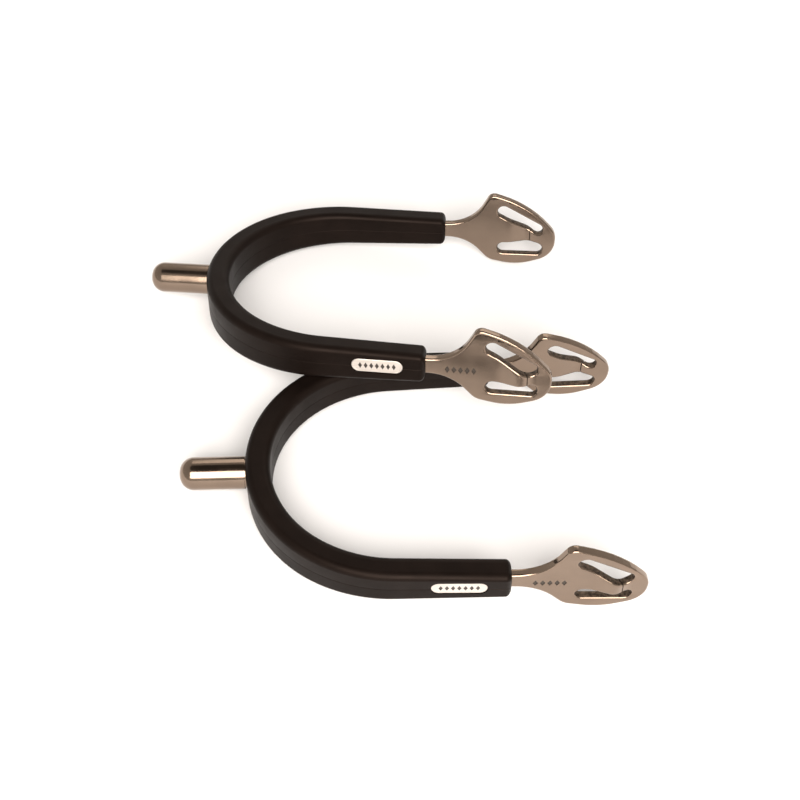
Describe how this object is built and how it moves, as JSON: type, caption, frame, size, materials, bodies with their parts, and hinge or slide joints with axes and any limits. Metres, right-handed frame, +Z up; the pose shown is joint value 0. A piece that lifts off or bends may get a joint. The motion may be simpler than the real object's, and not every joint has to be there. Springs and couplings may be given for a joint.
{
  "type": "riding spurs",
  "caption": "Pair of English riding spurs with polished steel yokes, round-nosed necks, black rubber sleeves, small side badges and slotted strap plates.",
  "frame": {"origin": "middle of the pair on the surface that it lies on", "axes": "+X from the front spur's heel band to its strap plates, +Z up, +Y from the front spur to the one leaning on it"},
  "size_m": [0.151, 0.1602, 0.0406],
  "materials": {
    "polished_steel": "polished stainless steel",
    "black_rubber": "satin moulded rubber",
    "satin_badge": "pale satin metal"
  },
  "bodies": {
    "front_spur": {"front_yoke": "polished_steel", "front_neck": "polished_steel", "front_sleeve": "black_rubber", "front_badge_left": "satin_badge", "front_badge_right": "satin_badge"},
    "rear_spur": {"rear_yoke": "polished_steel", "rear_neck": "polished_steel", "rear_sleeve": "black_rubber", "rear_badge_left": "satin_badge", "rear_badge_right": "satin_badge"}
  },
  "joints": [
    {"name": "rear_lift", "type": "slide", "parent": "front_spur", "child": "rear_spur", "axis": [0, 0, 1], "range_m": [0, 0.08]}
  ]
}
